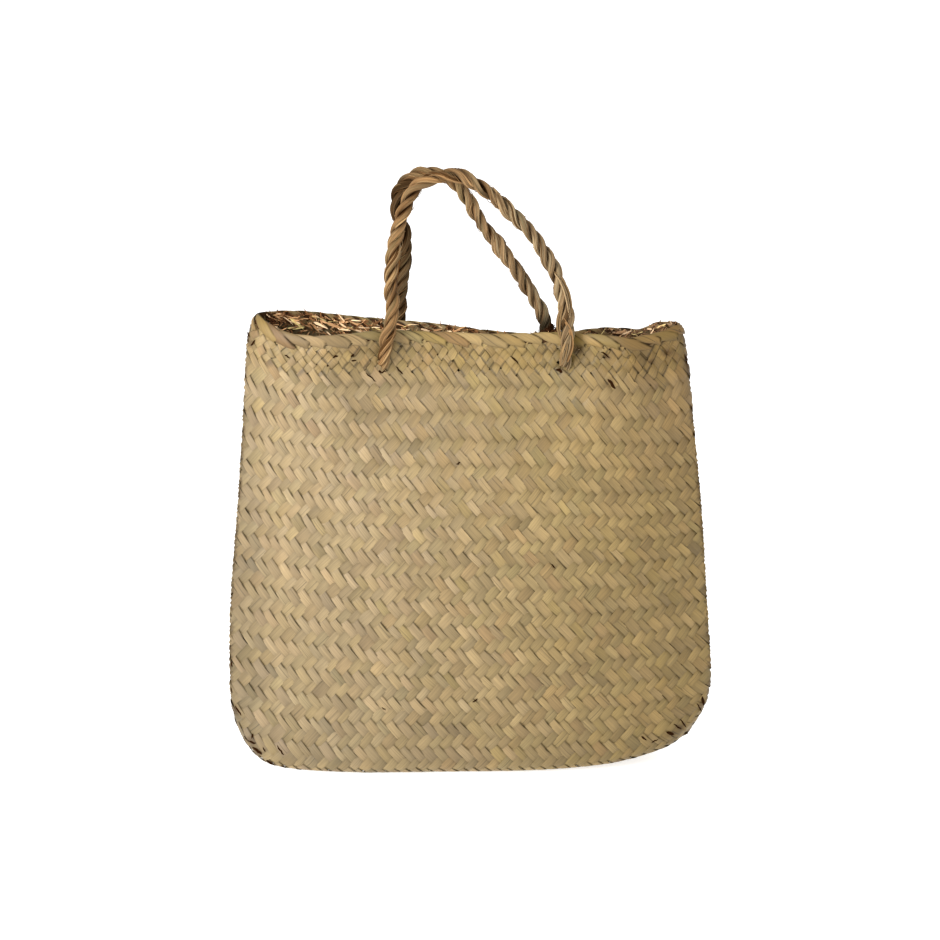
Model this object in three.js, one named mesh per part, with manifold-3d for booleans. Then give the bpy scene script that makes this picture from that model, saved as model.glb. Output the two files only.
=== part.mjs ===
// A woven flax bag that stands by itself: a soft, hollow body of plaited flax strips on a flat oval base,
// a plaited band round its mouth, and two handles of three-strand rope whose knotted ends sit inside.
// Lengths are millimetres. X runs across the bag, the front faces -Y, and Z is up from the surface
// that the bag stands on. The origin is the middle of the base.

import * as THREE from 'three';
import { mergeVertices } from 'three/addons/utils/BufferGeometryUtils.js';
import Module from 'manifold-3d';

// Driving sizes of the body
const WALL = 2.4;
const RIM_HEIGHT = 362;
const BASE_FLAT = 27;
const BASE_BEND = 11;
const FOLD_ROUNDNESS = 2.6;
const MOUTH_FADE = 130;
const CREASE_START = 10;
const CREASE_FULL = 110;

// Width and depth of the body at each height: x of the left and right folds, depth to the front and back
const SECTIONS = [
  { height: 0, left: -199, right: 199, depth: 36 },
  { height: 11, left: -200, right: 200, depth: 38 },
  { height: 80, left: -200, right: 200, depth: 41 },
  { height: 140, left: -197, right: 195, depth: 40.5 },
  { height: 216, left: -189, right: 188, depth: 38 },
  { height: 290, left: -182, right: 179, depth: 34.5 },
  { height: 340, left: -178, right: 173, depth: 31.5 },
  { height: 362, left: -175, right: 168, depth: 30 },
  { height: 380, left: -165, right: 157, depth: 29 },
];

// Bottom corners: how far each is lifted and drawn in, over what climb and from what share of the half width
const CORNERS = {
  left: { lift: 7, inset: 17, reach: 66, flat: 0.6, power: 3 },
  right: { lift: 21, inset: 18, reach: 84, flat: 0.37, power: 2.6 },
};

// The mouth from the left fold to the right fold: how far each rim stands open, as a share of the plain
// rounded section, and how far it rises above or dips below the rim height
const MOUTH = [
  { across: -1, frontOpen: 1, backOpen: 1, frontRise: 14, backRise: 14 },
  { across: -0.8, frontOpen: 1.1, backOpen: 1, frontRise: 2, backRise: 13 },
  { across: -0.6, frontOpen: 1.05, backOpen: 1.09, frontRise: 1, backRise: 8 },
  { across: -0.38, frontOpen: 0.5, backOpen: 0.9, frontRise: 2.5, backRise: 5 },
  { across: -0.12, frontOpen: 0.3, backOpen: 0.48, frontRise: 0.5, backRise: 3 },
  { across: 0.15, frontOpen: 0.28, backOpen: 0.3, frontRise: -1.5, backRise: -2 },
  { across: 0.4, frontOpen: 0.32, backOpen: 0.3, frontRise: 0, backRise: -4 },
  { across: 0.62, frontOpen: 0.77, backOpen: 0.54, frontRise: 0, backRise: 0 },
  { across: 0.74, frontOpen: 1.05, backOpen: 0.8, frontRise: -1.5, backRise: -0.5 },
  { across: 0.88, frontOpen: 0.9, backOpen: 0.95, frontRise: 1, backRise: 4 },
  { across: 1, frontOpen: 1, backOpen: 1, frontRise: 6, backRise: 6 },
];

// Plaited band on the rim: overlapping slanted leaves round an oval bead
const PLAIT_HEIGHT = 11;
const PLAIT_THICKNESS = 5.2;
const PLAIT_RELIEF = 0.9;
const PLAIT_LEAVES = 32;
const PLAIT_SLANT = 0.55;
const SEAT_GAP = 0.4;

// Rope handles: three strands laid into one rope that narrows where it is threaded through the wall
const ROPE_RADIUS = 6;
const ROPE_STRANDS = 3;
const ROPE_LAY = 40;
const STRAND_GROOVE = 0.16;
const ROPE_CLEARANCE = 0.4;
const TUNNEL_RUN = [15, 75];
const ROPE_ENDS = [
  { fromEnd: 0, radius: 3 },
  { fromEnd: 3, radius: 6.2 },
  { fromEnd: 8, radius: 7.5 },
  { fromEnd: 13, radius: 6.4 },
  { fromEnd: 18, radius: 4.6 },
  { fromEnd: 26, radius: 4.3 },
  { fromEnd: 40, radius: 5 },
  { fromEnd: 58, radius: ROPE_RADIUS },
];

// Routes of the two ropes from knot to knot: inside the wall, out through it, over the rim and round the loop
const FRONT_ROUTE = [
  [-69, -8, 312], [-69, -8, 320], [-68.5, -9.2, 329], [-68, -13.8, 337.5],
  [-67, -18.9, 345], [-65.5, -21.2, 353], [-63.5, -21.8, 362], [-61.5, -21.2, 371],
  [-60, -20, 386], [-61, -18, 401], [-60, -16, 416], [-58, -14.5, 430], [-55, -13, 444],
  [-50, -11.5, 459], [-44, -10, 471], [-34, -9.5, 479.5], [-22, -9, 483.5], [-10, -9, 484],
  [1, -9, 480], [12, -9, 472.5], [23, -9.5, 464], [35, -10, 452], [47, -11, 440],
  [56, -12, 427], [63, -13, 415], [68, -14.5, 402], [72, -16, 390], [75, -18, 377],
  [75.3, -18.7, 368], [75.3, -19, 359], [75, -18.2, 350], [75, -15.6, 342],
  [75.5, -10.4, 334.5], [76, -6, 326], [76, -4.4, 317], [76, -4.4, 309],
];
const BACK_ROUTE = [
  [-58, 16.6, 312], [-58, 16.6, 320], [-58, 18.4, 329], [-57.5, 23, 337.5],
  [-57, 28, 345], [-57, 30.6, 353], [-57, 31.3, 362], [-56, 30.5, 373],
  [-55, 27, 390], [-53, 22, 407], [-51, 17, 423], [-52, 12.5, 437], [-55, 9, 449],
  [-57, 7.5, 460], [-55, 7, 470], [-48, 7, 478], [-39, 7, 483], [-28, 7, 484],
  [-18, 7, 481], [-10, 7.5, 475], [-3, 8, 466], [3, 8.5, 455], [12, 9, 442],
  [23, 10, 427], [34, 11.5, 412], [44, 13, 396], [52, 14.5, 383], [57.5, 15.6, 373],
  [60, 16.1, 363], [60.2, 15.9, 354], [59.3, 15.3, 345], [58.5, 12.9, 337],
  [57.8, 7.9, 329.5], [57.3, 3.9, 321], [57, 2.3, 312], [57, 2.3, 304],
];

// How finely the surfaces are divided
const COLUMNS = 44;
const BASE_ROWS = 2;
const BEND_ROWS = 3;
const WALL_ROWS = 14;
const COLUMN_CROWDING = 0.25;
const PLAIT_SIDES = 8;
const ROPE_STEPS = 80;
const ROPE_SIDES = 9;
const TUNNEL_SIDES = 12;

// Distance over the cloth from the middle of the base to the rim
const BEND_LENGTH = BASE_BEND * Math.PI / 2;
const CLIMB = BASE_FLAT + BEND_LENGTH + RIM_HEIGHT - BASE_BEND;
const WALL_CLIMB = CLIMB - PLAIT_HEIGHT - SEAT_GAP;

const UPWARD = new THREE.Vector3(0, 0, 1);

// Value of one column of a table where another column reaches a given place, on a smooth curve
function along(table, column, place, wanted) {
  const last = table.length - 1;
  let row = 0;
  while (row < last - 1 && place > table[row + 1][column]) {
    row += 1;
  }
  const slopeAt = (k) => {
    const before = table[Math.max(0, k - 1)];
    const after = table[Math.min(last, k + 1)];
    return (after[wanted] - before[wanted]) / (after[column] - before[column]);
  };
  const [from, to] = [table[row], table[row + 1]];
  const span = to[column] - from[column];
  const t = THREE.MathUtils.clamp((place - from[column]) / span, 0, 1);
  const ease = t * t * (3 - 2 * t);
  const leave = t * (1 - t) ** 2 * span * slopeAt(row);
  const arrive = t * t * (t - 1) * span * slopeAt(row + 1);
  return from[wanted] + (to[wanted] - from[wanted]) * ease + leave + arrive;
}

// Height and depth of the body's middle section at a climb over the cloth
function middleSection(climb) {
  if (climb <= BASE_FLAT) {
    return { height: 0, depth: climb };
  }
  const bend = (climb - BASE_FLAT) / BASE_BEND;
  if (climb < BASE_FLAT + BEND_LENGTH) {
    return { height: BASE_BEND * (1 - Math.cos(bend)), depth: BASE_FLAT + BASE_BEND * Math.sin(bend) };
  }
  const height = climb - BASE_FLAT - BEND_LENGTH + BASE_BEND;
  return { height, depth: along(SECTIONS, 'height', height, 'depth') };
}

// Roundness of the plan section: 1 in the middle, falling to 0 at the side folds, which are rounded where the
// crease is 0 and sharp where it is 1
function fullness(across, crease) {
  return Math.max(0, 1 - Math.abs(across) ** FOLD_ROUNDNESS) ** ((1 + crease) / 2);
}

// A point of the outer surface: across from -1 at the left fold to 1 at the right fold, climb over the
// cloth from the middle of the base, and side -1 for the front or 1 for the back
function skin(across, climb, side) {
  const face = side < 0 ? 'front' : 'back';
  const corner = across < 0 ? CORNERS.left : CORNERS.right;
  const turn = (Math.max(0, Math.abs(across) - corner.flat) / (1 - corner.flat)) ** corner.power;
  const mouth = THREE.MathUtils.smoothstep(climb, CLIMB - MOUTH_FADE, CLIMB);
  const crease = (1 - mouth) * THREE.MathUtils.smoothstep(climb, CREASE_START, CREASE_FULL);
  const middle = middleSection(climb);
  const foldHeight = corner.lift + (RIM_HEIGHT - corner.lift) * climb / CLIMB;
  const rise = mouth * along(MOUTH, 'across', across, `${face}Rise`);
  const height = middle.height + (foldHeight - middle.height) * turn + rise;
  const left = along(SECTIONS, 'height', height, 'left');
  const right = along(SECTIONS, 'height', height, 'right');
  const tuck = corner.inset * turn * Math.max(0, 1 - climb / corner.reach) ** 2;
  const x = (left + right) / 2 + across * (right - left) / 2 - Math.sign(across) * tuck;
  const open = 1 + mouth * (along(MOUTH, 'across', across, `${face}Open`) - 1);
  return new THREE.Vector3(x, side * middle.depth * fullness(across, crease) * open, height);
}

// Places across the section that are evenly spaced over the cloth, with the folds' turns counted in
const EVEN = (() => {
  const steps = 720;
  const section = SECTIONS[Math.floor(SECTIONS.length / 2)];
  const rows = [];
  let [length, before] = [0, null];
  for (let k = 0; k <= steps; k += 1) {
    const across = Math.sin((k / steps - 0.5) * Math.PI);
    const here = new THREE.Vector2(across * section.right, fullness(across, 1) * section.depth);
    length += before ? here.distanceTo(before) : 0;
    rows.push({ length, across });
    before = here;
  }
  return rows;
})();

function evenAcross(share) {
  const place = (share + 1) / 2 * EVEN[EVEN.length - 1].length;
  let low = 0;
  while (low < EVEN.length - 2 && EVEN[low + 1].length < place) {
    low += 1;
  }
  const [from, to] = [EVEN[low], EVEN[low + 1]];
  return THREE.MathUtils.mapLinear(place, from.length, to.length, from.across, to.across);
}

// Place of a column of points, crowded towards the side folds
function columnShare(column) {
  const t = 2 * column / COLUMNS - 1;
  return t * (1 + COLUMN_CROWDING * (1 - t * t));
}

// Evenly spaced values from one end up to, but not including, the other
function spread(from, to, count) {
  return Array.from({ length: count }, (_, k) => from + (to - from) * k / count);
}

// Geometry from points and triangles that share them, with its faces turned outwards
function solid(points, triangles) {
  const geometry = new THREE.BufferGeometry().setFromPoints(points);
  const volume = triangles.reduce((sum, [a, b, c]) => (
    sum + points[a].dot(new THREE.Vector3().crossVectors(points[b], points[c]))), 0);
  const index = triangles.flatMap(([a, b, c]) => (volume < 0 ? [a, c, b] : [a, b, c]));
  geometry.setIndex(index);
  geometry.computeVertexNormals();
  return geometry;
}

// Skin over a row of rings that all have the same number of points, capped at both ends or run into a loop
function loft(rings, { loop = false } = {}) {
  const sides = rings[0].length;
  const points = rings.flat();
  const triangles = [];
  const last = loop ? rings.length : rings.length - 1;
  for (let k = 0; k < last; k += 1) {
    for (let i = 0; i < sides; i += 1) {
      const [a, b] = [k * sides + i, k * sides + (i + 1) % sides];
      const next = ((k + 1) % rings.length) * sides;
      const [c, d] = [next + (i + 1) % sides, next + i];
      triangles.push([a, b, c], [a, c, d]);
    }
  }
  if (!loop) {
    for (const [ring, flip] of [[0, true], [rings.length - 1, false]]) {
      const middle = new THREE.Vector3();
      rings[ring].forEach((point) => middle.addScaledVector(point, 1 / sides));
      points.push(middle);
      for (let i = 0; i < sides; i += 1) {
        const [a, b] = [ring * sides + i, ring * sides + (i + 1) % sides];
        triangles.push(flip ? [points.length - 1, b, a] : [points.length - 1, a, b]);
      }
    }
  }
  return solid(points, triangles);
}

// The body: a front and a back panel that share their side folds and the middle line of the base, with an
// inner surface one wall inside the outer one, joined along the open rim
function bodyShell() {
  const wallStart = BASE_FLAT + BEND_LENGTH;
  const climbs = [
    ...spread(0, BASE_FLAT, BASE_ROWS),
    ...spread(BASE_FLAT, wallStart, BEND_ROWS),
    ...spread(wallStart, WALL_CLIMB, WALL_ROWS),
    WALL_CLIMB,
  ];
  const points = [];
  const place = new Map();
  const key = (side, column, row) => {
    const shared = row === 0 || column === 0 || column === COLUMNS;
    return `${shared ? 0 : side},${column},${row}`;
  };
  for (const side of [-1, 1]) {
    climbs.forEach((climb, row) => {
      for (let column = 0; column <= COLUMNS; column += 1) {
        if (!place.has(key(side, column, row))) {
          place.set(key(side, column, row), points.length);
          points.push(skin(evenAcross(columnShare(column)), climb, side));
        }
      }
    });
  }
  const faces = [];
  for (const side of [-1, 1]) {
    for (let row = 0; row < climbs.length - 1; row += 1) {
      for (let column = 0; column < COLUMNS; column += 1) {
        const a = place.get(key(side, column, row));
        const b = place.get(key(side, column + 1, row));
        const c = place.get(key(side, column + 1, row + 1));
        const d = place.get(key(side, column, row + 1));
        faces.push(...(side < 0 ? [[a, b, c], [a, c, d]] : [[b, a, d], [b, d, c]]));
      }
    }
  }
  const outer = new THREE.BufferGeometry().setFromPoints(points);
  outer.setIndex(faces.flat());
  outer.computeVertexNormals();
  const normal = outer.getAttribute('normal');
  const count = points.length;
  const inner = points.map((point, k) => (
    point.clone().addScaledVector(new THREE.Vector3().fromBufferAttribute(normal, k), -WALL)));
  const triangles = [...faces, ...faces.map(([a, b, c]) => [count + a, count + c, count + b])];
  const top = climbs.length - 1;
  for (const side of [-1, 1]) {
    for (let column = 0; column < COLUMNS; column += 1) {
      const a = place.get(key(side, column, top));
      const b = place.get(key(side, column + 1, top));
      inner[a].z = points[a].z;
      inner[b].z = points[b].z;
      const lip = [[a, b, count + b], [a, count + b, count + a]];
      triangles.push(...(side < 0 ? lip : lip.map(([p, q, r]) => [p, r, q])));
    }
  }
  return solid([...points, ...inner], triangles);
}

// The rim's middle line: around from 0 at the left fold, along the front to 1 at the right fold and back to 2
function rimPoint(around, climb) {
  const turn = THREE.MathUtils.euclideanModulo(around, 2);
  return turn <= 1 ? skin(evenAcross(2 * turn - 1), climb, -1) : skin(evenAcross(3 - 2 * turn), climb, 1);
}

// The plaited band: an oval bead over the wall's top edge with a slanted swell for each leaf
function plaitedBand() {
  const middleClimb = CLIMB - PLAIT_HEIGHT / 2;
  const flat = Math.cos(Math.PI / PLAIT_SIDES);
  const step = 0.004;
  const rings = [];
  for (let k = 0; k < 2 * COLUMNS; k += 1) {
    const around = k < COLUMNS ? (1 + columnShare(k)) / 2 : (3 + columnShare(k - COLUMNS)) / 2;
    const centre = rimPoint(around, middleClimb);
    const ahead = rimPoint(around + step, middleClimb).sub(rimPoint(around - step, middleClimb)).normalize();
    const up = rimPoint(around, CLIMB).sub(rimPoint(around, CLIMB - PLAIT_HEIGHT)).normalize();
    const out = new THREE.Vector3().crossVectors(ahead, UPWARD).normalize();
    centre.addScaledVector(out, -WALL / 2);
    const ring = [];
    for (let i = 0; i < PLAIT_SIDES; i += 1) {
      const angle = 2 * Math.PI * (i + 0.5) / PLAIT_SIDES;
      const [level, face] = [Math.sin(angle) / flat, Math.cos(angle) / flat];
      const leaf = THREE.MathUtils.euclideanModulo(PLAIT_LEAVES * around / 2 + PLAIT_SLANT * level, 1);
      const thick = PLAIT_THICKNESS / 2 - PLAIT_RELIEF * leaf;
      ring.push(centre.clone()
        .addScaledVector(up, level * PLAIT_HEIGHT / 2)
        .addScaledVector(out, face * thick));
    }
    rings.push(ring);
  }
  return loft(rings, { loop: true });
}

// Rings of a rope or of the round tunnel that it needs, between two distances from its nearer end
function ropeRings(route, { sides, radius, strands = 0, between = [0, Infinity] }) {
  const curve = new THREE.CatmullRomCurve3(route.map((point) => new THREE.Vector3(...point)));
  curve.arcLengthDivisions = 1200;
  const length = curve.getLength();
  const frames = curve.computeFrenetFrames(ROPE_STEPS, false);
  const stretches = [[], []];
  for (let k = 0; k <= ROPE_STEPS; k += 1) {
    const run = length * k / ROPE_STEPS;
    const fromEnd = Math.min(run, length - run);
    if (fromEnd < between[0] || fromEnd > between[1]) {
      continue;
    }
    const centre = curve.getPointAt(k / ROPE_STEPS);
    const ring = [];
    for (let i = 0; i < sides; i += 1) {
      const angle = 2 * Math.PI * i / sides;
      const groove = STRAND_GROOVE * (1 - Math.cos(strands * angle)) / 2;
      const turned = angle + 2 * Math.PI * run / ROPE_LAY;
      const size = radius(fromEnd) * (1 - groove);
      ring.push(centre.clone()
        .addScaledVector(frames.normals[k], Math.cos(turned) * size)
        .addScaledVector(frames.binormals[k], Math.sin(turned) * size));
    }
    stretches[run < length / 2 ? 0 : 1].push(ring);
  }
  return stretches;
}

const ropeRadius = (fromEnd) => along(ROPE_ENDS, 'fromEnd', fromEnd, 'radius');

// A handle from one knot to the other, with its strands laid round each other
function ropeHandle(route) {
  return loft(ropeRings(route, { sides: ROPE_SIDES, radius: ropeRadius, strands: ROPE_STRANDS }).flat());
}

// The two tunnels that a handle's ends need through the wall, from behind the knots to above the rim
function ropeTunnels(route) {
  const radius = (fromEnd) => (ropeRadius(fromEnd) + ROPE_CLEARANCE) / Math.cos(Math.PI / TUNNEL_SIDES);
  return ropeRings(route, { sides: TUNNEL_SIDES, radius, between: TUNNEL_RUN }).map((rings) => loft(rings));
}

const wasm = await Module();
wasm.setup();

// Cut tool solids out of a piece
function cut(geometry, tools) {
  const toManifold = (source) => {
    const bare = new THREE.BufferGeometry();
    bare.setAttribute('position', source.getAttribute('position'));
    bare.setIndex(source.getIndex());
    const merged = mergeVertices(bare);
    return new wasm.Manifold(new wasm.Mesh({
      numProp: 3,
      vertProperties: new Float32Array(merged.getAttribute('position').array),
      triVerts: new Uint32Array(merged.getIndex().array),
    }));
  };
  const piece = tools.reduce((left, tool) => left.subtract(toManifold(tool)), toManifold(geometry));
  const mesh = piece.getMesh();
  const result = new THREE.BufferGeometry();
  result.setAttribute('position', new THREE.BufferAttribute(new Float32Array(mesh.vertProperties), 3));
  result.setIndex(new THREE.BufferAttribute(new Uint32Array(mesh.triVerts), 1));
  result.computeVertexNormals();
  return result;
}

const straw = new THREE.MeshStandardMaterial({ color: 0xbca374, roughness: 0.72, metalness: 0 });
const rimStraw = new THREE.MeshStandardMaterial({ color: 0xb29a66, roughness: 0.75, metalness: 0 });
const cord = new THREE.MeshStandardMaterial({ color: 0x9a7d55, roughness: 0.85, metalness: 0 });

function piece(name, geometry, material) {
  const mesh = new THREE.Mesh(geometry, material);
  mesh.name = name;
  return mesh;
}

const tunnels = [...ropeTunnels(FRONT_ROUTE), ...ropeTunnels(BACK_ROUTE)];
const bag = new THREE.Group();
bag.add(piece('bag_body', cut(bodyShell(), tunnels), straw));
bag.add(piece('rim_plait', cut(plaitedBand(), tunnels), rimStraw));
bag.add(piece('handle_front', ropeHandle(FRONT_ROUTE), cord));
bag.add(piece('handle_back', ropeHandle(BACK_ROUTE), cord));

export default bag;
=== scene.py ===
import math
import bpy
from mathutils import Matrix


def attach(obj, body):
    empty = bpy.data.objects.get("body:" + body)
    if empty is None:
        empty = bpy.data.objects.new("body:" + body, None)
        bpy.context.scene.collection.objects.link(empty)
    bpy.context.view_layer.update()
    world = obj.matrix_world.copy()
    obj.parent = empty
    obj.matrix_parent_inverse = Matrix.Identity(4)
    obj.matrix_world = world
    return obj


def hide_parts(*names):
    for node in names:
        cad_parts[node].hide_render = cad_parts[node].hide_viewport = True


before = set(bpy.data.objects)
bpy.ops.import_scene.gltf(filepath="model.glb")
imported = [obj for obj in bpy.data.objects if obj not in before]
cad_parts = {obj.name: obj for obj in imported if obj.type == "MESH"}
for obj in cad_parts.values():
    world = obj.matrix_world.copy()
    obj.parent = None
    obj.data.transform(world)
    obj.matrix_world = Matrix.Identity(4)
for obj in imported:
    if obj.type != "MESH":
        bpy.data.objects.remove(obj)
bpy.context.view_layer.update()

# A woven flax bag with two rope handles: its strips, plaited rim, cut ends and ropes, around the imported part.
# Lengths are millimetres until a mesh is made. X runs across the bag, the front faces -Y and Z is up.

from types import SimpleNamespace

import bpy
import numpy as np
from mathutils import Vector

MM = 0.001
chance = np.random.default_rng(20)

# Driving sizes, as in the part's own source
WALL = 2.4
RIM_HEIGHT = 362
BASE_FLAT = 27
BASE_BEND = 11
FOLD_ROUNDNESS = 2.6
MOUTH_FADE = 130
CREASE_START = 10
CREASE_FULL = 110
PLAIT_HEIGHT = 11
BEND_LENGTH = BASE_BEND * math.pi / 2
CLIMB = BASE_FLAT + BEND_LENGTH + RIM_HEIGHT - BASE_BEND

# The body from the floor up. Columns: height, x of the left fold, x of the right fold, depth
LEFT, RIGHT, DEPTH = 1, 2, 3
SECTIONS = np.array([
    (0, -199, 199, 36), (11, -200, 200, 38), (80, -200, 200, 41), (140, -197, 195, 40.5),
    (216, -189, 188, 38), (290, -182, 179, 34.5), (340, -178, 173, 31.5), (362, -175, 168, 30),
    (380, -165, 157, 29),
], float)
# The left and the right bottom corner. Columns: lift, inset, reach, flat share, power of the turn
CORNERS = np.array([(7, 17, 66, 0.6, 3), (21, 18, 84, 0.37, 2.6)], float)
# The mouth from the left fold to the right one. Columns: place across, how far the front and the back stand
# open, as a share of the plain section, and how far each rises
FRONT_OPEN, BACK_OPEN, FRONT_RISE, BACK_RISE = 1, 2, 3, 4
MOUTH = np.array([
    (-1, 1, 1, 14, 14), (-0.8, 1.1, 1, 2, 13), (-0.6, 1.05, 1.09, 1, 8), (-0.38, 0.5, 0.9, 2.5, 5),
    (-0.12, 0.3, 0.48, 0.5, 3), (0.15, 0.28, 0.3, -1.5, -2), (0.4, 0.32, 0.3, 0, -4),
    (0.62, 0.77, 0.54, 0, 0), (0.74, 1.05, 0.8, -1.5, -0.5), (0.88, 0.9, 0.95, 1, 4), (1, 1, 1, 6, 6),
], float)
# A rope from its knotted end. Columns: distance from the end, radius
RADIUS = 1
ROPE_ENDS = np.array([
    (0, 3), (3, 6.2), (8, 7.5), (13, 6.4), (18, 4.6), (26, 4.3), (40, 5), (58, 6),
], float)
# Points that each handle's rope passes through, from its left knot to its right one
FRONT_ROUTE = [
    (-69, -8, 312), (-69, -8, 320), (-68.5, -9.2, 329), (-68, -13.8, 337.5), (-67, -18.9, 345),
    (-65.5, -21.2, 353), (-63.5, -21.8, 362), (-61.5, -21.2, 371), (-60, -20, 386), (-61, -18, 401),
    (-60, -16, 416), (-58, -14.5, 430), (-55, -13, 444), (-50, -11.5, 459), (-44, -10, 471),
    (-34, -9.5, 479.5), (-22, -9, 483.5), (-10, -9, 484), (1, -9, 480), (12, -9, 472.5), (23, -9.5, 464),
    (35, -10, 452), (47, -11, 440), (56, -12, 427), (63, -13, 415), (68, -14.5, 402), (72, -16, 390),
    (75, -18, 377), (75.3, -18.7, 368), (75.3, -19, 359), (75, -18.2, 350), (75, -15.6, 342),
    (75.5, -10.4, 334.5), (76, -6, 326), (76, -4.4, 317), (76, -4.4, 309),
]
BACK_ROUTE = [
    (-58, 16.6, 312), (-58, 16.6, 320), (-58, 18.4, 329), (-57.5, 23, 337.5), (-57, 28, 345),
    (-57, 30.6, 353), (-57, 31.3, 362), (-56, 30.5, 373), (-55, 27, 390), (-53, 22, 407), (-51, 17, 423),
    (-52, 12.5, 437), (-55, 9, 449), (-57, 7.5, 460), (-55, 7, 470), (-48, 7, 478), (-39, 7, 483),
    (-28, 7, 484), (-18, 7, 481), (-10, 7.5, 475), (-3, 8, 466), (3, 8.5, 455), (12, 9, 442), (23, 10, 427),
    (34, 11.5, 412), (44, 13, 396), (52, 14.5, 383), (57.5, 15.6, 373), (60, 16.1, 363), (60.2, 15.9, 354),
    (59.3, 15.3, 345), (58.5, 12.9, 337), (57.8, 7.9, 329.5), (57.3, 3.9, 321), (57, 2.3, 312),
    (57, 2.3, 304),
]


# Camera, light and floor

camera = bpy.data.objects.new("camera", bpy.data.cameras.new("camera"))
camera.data.lens = 66.83
camera.data.sensor_width = 36
camera.location = (0, -1.3523, 0.6113)
camera.rotation_euler = (math.radians(75), 0, 0)
bpy.context.scene.collection.objects.link(camera)
bpy.context.scene.camera = camera

world = bpy.data.worlds.new("studio")
world.use_nodes = True
world.node_tree.nodes["Background"].inputs["Color"].default_value = (1, 1, 1, 1)
world.node_tree.nodes["Background"].inputs["Strength"].default_value = 1.08
bpy.context.scene.world = world

# A low soft light near the left, so that the weave is lit along its length and falls off to the right
key = bpy.data.objects.new("key", bpy.data.lights.new("key", "AREA"))
key.data.size = 0.55
key.data.energy = 17
key.data.color = (1, 0.98, 0.95)
key.location = (-0.8, -0.85, 0.62)
key.rotation_euler = Vector((0.8, 0.85, -0.4)).to_track_quat("-Z", "Y").to_euler()
bpy.context.scene.collection.objects.link(key)

bpy.ops.mesh.primitive_plane_add(size=600, location=(0, 0, -0.0004))
floor = bpy.context.object
floor.name = "floor"
bpy.context.scene.view_settings.view_transform = "Standard"


# Surface of the bag

def along(table, place, column):
    """A column of a table where its first column reaches a place, on a smooth curve."""
    x, y = table[:, 0], table[:, column]
    slope = np.empty(len(x))
    slope[1:-1] = (y[2:] - y[:-2]) / (x[2:] - x[:-2])
    slope[0] = (y[1] - y[0]) / (x[1] - x[0])
    slope[-1] = (y[-1] - y[-2]) / (x[-1] - x[-2])
    row = np.searchsorted(x[1:-1], place)
    span = x[row + 1] - x[row]
    t = np.clip((place - x[row]) / span, 0, 1)
    ease = t * t * (3 - 2 * t)
    leave = t * (1 - t) ** 2 * span * slope[row]
    arrive = t * t * (t - 1) * span * slope[row + 1]
    return y[row] + (y[row + 1] - y[row]) * ease + leave + arrive


def smooth(low, high, value):
    t = np.clip((value - low) / (high - low), 0, 1)
    return t * t * (3 - 2 * t)


def fullness(across, crease):
    return np.clip(1 - np.abs(across) ** FOLD_ROUNDNESS, 0, None) ** ((1 + crease) / 2)


def corner_turn(across):
    """Lift, inset and reach of the nearer bottom corner, and how far a place has turned into it."""
    lift, inset, reach, flat, power = np.moveaxis(CORNERS[(across >= 0).astype(int)], -1, 0)
    return lift, inset, reach, (np.clip(np.abs(across) - flat, 0, None) / (1 - flat)) ** power


# A short dip of the back rim near the right fold: depth, place across and half width
BACK_DIP = 3.6
BACK_DIP_AT = 0.81
BACK_DIP_WIDTH = 0.055


def skin(across, climb, back):
    """Points of the outer surface: across from -1 to 1, climb over the cloth, and whether it is the back."""
    bend = np.clip((climb - BASE_FLAT) / BASE_BEND, 0, math.pi / 2)
    standing = climb - BASE_FLAT - BEND_LENGTH + BASE_BEND
    upright = climb >= BASE_FLAT + BEND_LENGTH
    middle = np.where(upright, standing, BASE_BEND * (1 - np.cos(bend)))
    deep = np.where(upright, along(SECTIONS, standing, DEPTH),
                    np.minimum(climb, BASE_FLAT) + BASE_BEND * np.sin(bend))
    lift, inset, reach, turn = corner_turn(across)
    mouth = smooth(CLIMB - MOUTH_FADE, CLIMB, climb)
    dip = BACK_DIP * np.exp(-((across - BACK_DIP_AT) / BACK_DIP_WIDTH) ** 2)
    rise = mouth * np.where(back, along(MOUTH, across, BACK_RISE) - dip, along(MOUTH, across, FRONT_RISE))
    fold = lift + (RIM_HEIGHT - lift) * climb / CLIMB
    height = middle + (fold - middle) * turn + rise
    left, right = along(SECTIONS, height, LEFT), along(SECTIONS, height, RIGHT)
    tuck = inset * turn * np.clip(1 - climb / reach, 0, None) ** 2
    x = (left + right) / 2 + across * (right - left) / 2 - np.sign(across) * tuck
    stands_open = np.where(back, along(MOUTH, across, BACK_OPEN), along(MOUTH, across, FRONT_OPEN))
    crease = (1 - mouth) * smooth(CREASE_START, CREASE_FULL, climb)
    y = np.where(back, 1, -1) * deep * fullness(across, crease) * (1 + mouth * (stands_open - 1))
    return np.stack([x, y, height], -1)


# The cloth as one sheet: around in strips from the left fold along the front and back behind, 86 in all, and
# climb from the middle of the base, with a climb below it lying on the other side
ROUND = 86
# Climb from which the rows run level
LEVEL_FROM = 120
# Where the cloth stands off its plain form: place across, climb, half width, half height, how far it moves
# along x, y and z, and whether only the front does
BUMPS = [
    (-0.86, 28, 0.12, 26, (-3, 0, -3.6), False), (0.86, 26, 0.1, 24, (2.5, 0, -3.2), False),
    (0.5, 0, 0.2, 70, (0, 0, 3), False), (-0.55, 32, 0.35, 30, (0, -5, 0), True),
    (1, 42, 0.07, 26, (3, 0, 0), False),
]


def place_round(around):
    """Across and side of a place round the bag."""
    around = around % ROUND
    back = around > ROUND / 2
    return np.where(back, 3 - 4 * around / ROUND, 4 * around / ROUND - 1), back


def wall(around, climb):
    across, back = place_round(around)
    return skin(across, climb, back)


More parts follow.
